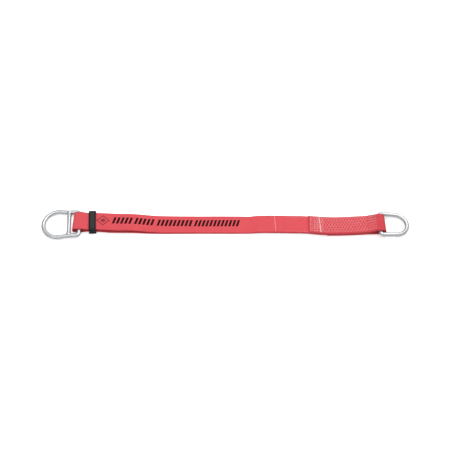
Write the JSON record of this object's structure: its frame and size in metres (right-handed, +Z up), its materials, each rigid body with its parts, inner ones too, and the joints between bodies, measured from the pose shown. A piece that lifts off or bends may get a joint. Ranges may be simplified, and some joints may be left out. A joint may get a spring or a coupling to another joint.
{
  "type": "web lifting strap",
  "caption": "Flat lifting strap of two-ply webbing with a barred D ring sewn in at one end, a plain D ring at the other, a stitched splice and a sliding keeper.",
  "frame": {"origin": "centre of the strap's footprint on the surface it lies on", "axes": "+X along the strap towards the plain D ring, +Z up from the surface, +Y across the web"},
  "size_m": [0.9364, 0.0876, 0.0255],
  "materials": {
    "webbing": "woven red polyester",
    "thread": "pale pink sewing thread",
    "zinc_steel": "bright zinc plate",
    "black_plastic": "satin moulded",
    "rivet_black": "satin moulded"
  },
  "bodies": {
    "web_mid": {"web_back_3": "webbing", "web_front_3": "webbing"},
    "web_left_mid": {"web_back_2": "webbing", "web_front_2": "webbing"},
    "web_left": {"web_left_eye": "webbing"},
    "choker_ring": {"choker_ring_frame": "zinc_steel", "choker_ring_crossbar": "zinc_steel"},
    "keeper": {"keeper_shell": "black_plastic", "keeper_base": "black_plastic", "keeper_rivets": "rivet_black"},
    "web_right_mid": {"web_back_4": "webbing", "web_front_4": "webbing", "web_lap_4": "webbing"},
    "web_right": {"web_right_eye": "webbing", "splice_cover": "webbing", "splice_lap": "webbing", "splice_stitch_rows": "thread", "tack_stitch_1": "thread", "tack_stitch_2": "thread", "edge_seam_far": "thread", "edge_seam_near": "thread"},
    "end_ring": {"end_ring": "zinc_steel"}
  },
  "joints": [
    {"name": "flex_2", "type": "hinge", "parent": "web_mid", "child": "web_left_mid", "pos_m": [-0.112, 0, 0.0028], "axis": [0, 1, 0], "range_deg": [-40, 40]},
    {"name": "flex_1", "type": "hinge", "parent": "web_left_mid", "child": "web_left", "pos_m": [-0.215, 0, 0.0052], "axis": [0, 1, 0], "range_deg": [-40, 40]},
    {"name": "choker_ring_swing", "type": "hinge", "parent": "web_left", "child": "choker_ring", "pos_m": [-0.3717, 0.0015, 0.00875], "axis": [-0.0305, 0.9995, 0], "range_deg": [-105, 105]},
    {"name": "keeper_slide", "type": "slide", "parent": "web_left", "child": "keeper", "axis": [1, 0, 0], "range_m": [-0.003, 0.09]},
    {"name": "flex_3", "type": "hinge", "parent": "web_mid", "child": "web_right_mid", "pos_m": [-0.008, 0, 0.0028], "axis": [0, 1, 0], "range_deg": [-40, 40]},
    {"name": "flex_4", "type": "hinge", "parent": "web_right_mid", "child": "web_right", "pos_m": [0.098, 0, 0.0046], "axis": [0, 1, 0], "range_deg": [-40, 40]},
    {"name": "end_ring_swing", "type": "hinge", "parent": "web_right", "child": "end_ring", "pos_m": [0.3938, -0.0046, 0.0127], "axis": [0.0116, 0.9993, -0.0349], "range_deg": [-95, 105]}
  ]
}
